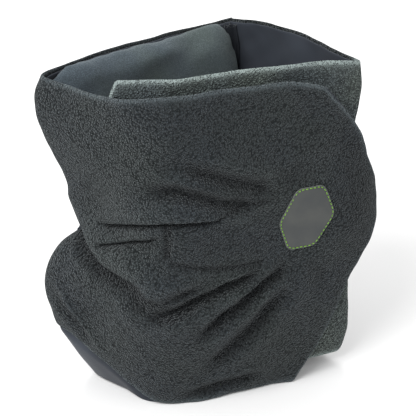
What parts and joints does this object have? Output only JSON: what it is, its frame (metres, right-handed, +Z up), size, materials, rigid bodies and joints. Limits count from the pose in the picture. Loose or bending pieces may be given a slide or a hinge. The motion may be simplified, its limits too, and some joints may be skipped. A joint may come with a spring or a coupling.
{
  "type": "neck collar",
  "caption": "Wrap-around fleece neck collar, open at top and bottom, with a stiffened padded pocket, an overlapping front flap closed by hook tape and a sewn six-sided patch.",
  "frame": {"origin": "middle of the base of the bounding box, on the surface that the hem stands on", "axes": "+Z up; -Y is the front, where the flap closes; +X is the side of the flap's free edge, the wearer's left"},
  "size_m": [0.178, 0.1128, 0.204],
  "materials": {
    "fleece": "pebbled pile, dark slate grey",
    "pad_fleece": "fine short pile, slate grey",
    "lining": "smooth stretch knit, dark blue-grey",
    "binding": "woven binding tape, near black",
    "frame_plastic": "moulded, satin",
    "foam": "open-cell foam",
    "hook_tape": "moulded hooks on woven backing",
    "patch_leather": "smooth matt synthetic leather, grey",
    "green_thread": "lime green sewing thread",
    "grey_thread": "dark sewing thread"
  },
  "bodies": {
    "collar": {"side_fleece": "fleece", "pocket_lining": "lining", "support_frame": "frame_plastic", "lower_foam_rail": "foam", "foam_pad": "foam", "upper_foam_rail": "foam", "neck_pad_cover": "pad_fleece", "back_panel_fleece": "fleece", "back_panel_lining": "lining", "back_seam_tape": "binding"},
    "under_tail": {"tail_fleece": "fleece", "tail_lining": "lining"},
    "front_flap": {"flap_fleece": "fleece", "flap_lining": "lining", "hook_pad": "hook_tape", "hook_pad_stitches": "grey_thread"},
    "flap_tip": {"tip_fleece": "fleece", "tip_lining": "lining", "grip_patch": "patch_leather", "patch_stitches": "green_thread"}
  },
  "joints": [
    {"name": "flap_open", "type": "hinge", "parent": "collar", "child": "front_flap", "pos_m": [-0.07545, -0.01065, 0], "axis": [0, 0, -1], "range_deg": [0, 100]},
    {"name": "tip_lift", "type": "hinge", "parent": "front_flap", "child": "flap_tip", "pos_m": [0.02005, -0.05305, 0], "axis": [0, 0, -1], "range_deg": [0, 60]},
    {"name": "tail_tuck", "type": "hinge", "parent": "collar", "child": "under_tail", "pos_m": [0.06505, -0.03565, 0], "axis": [0, 0, -1], "range_deg": [0, 9]}
  ]
}
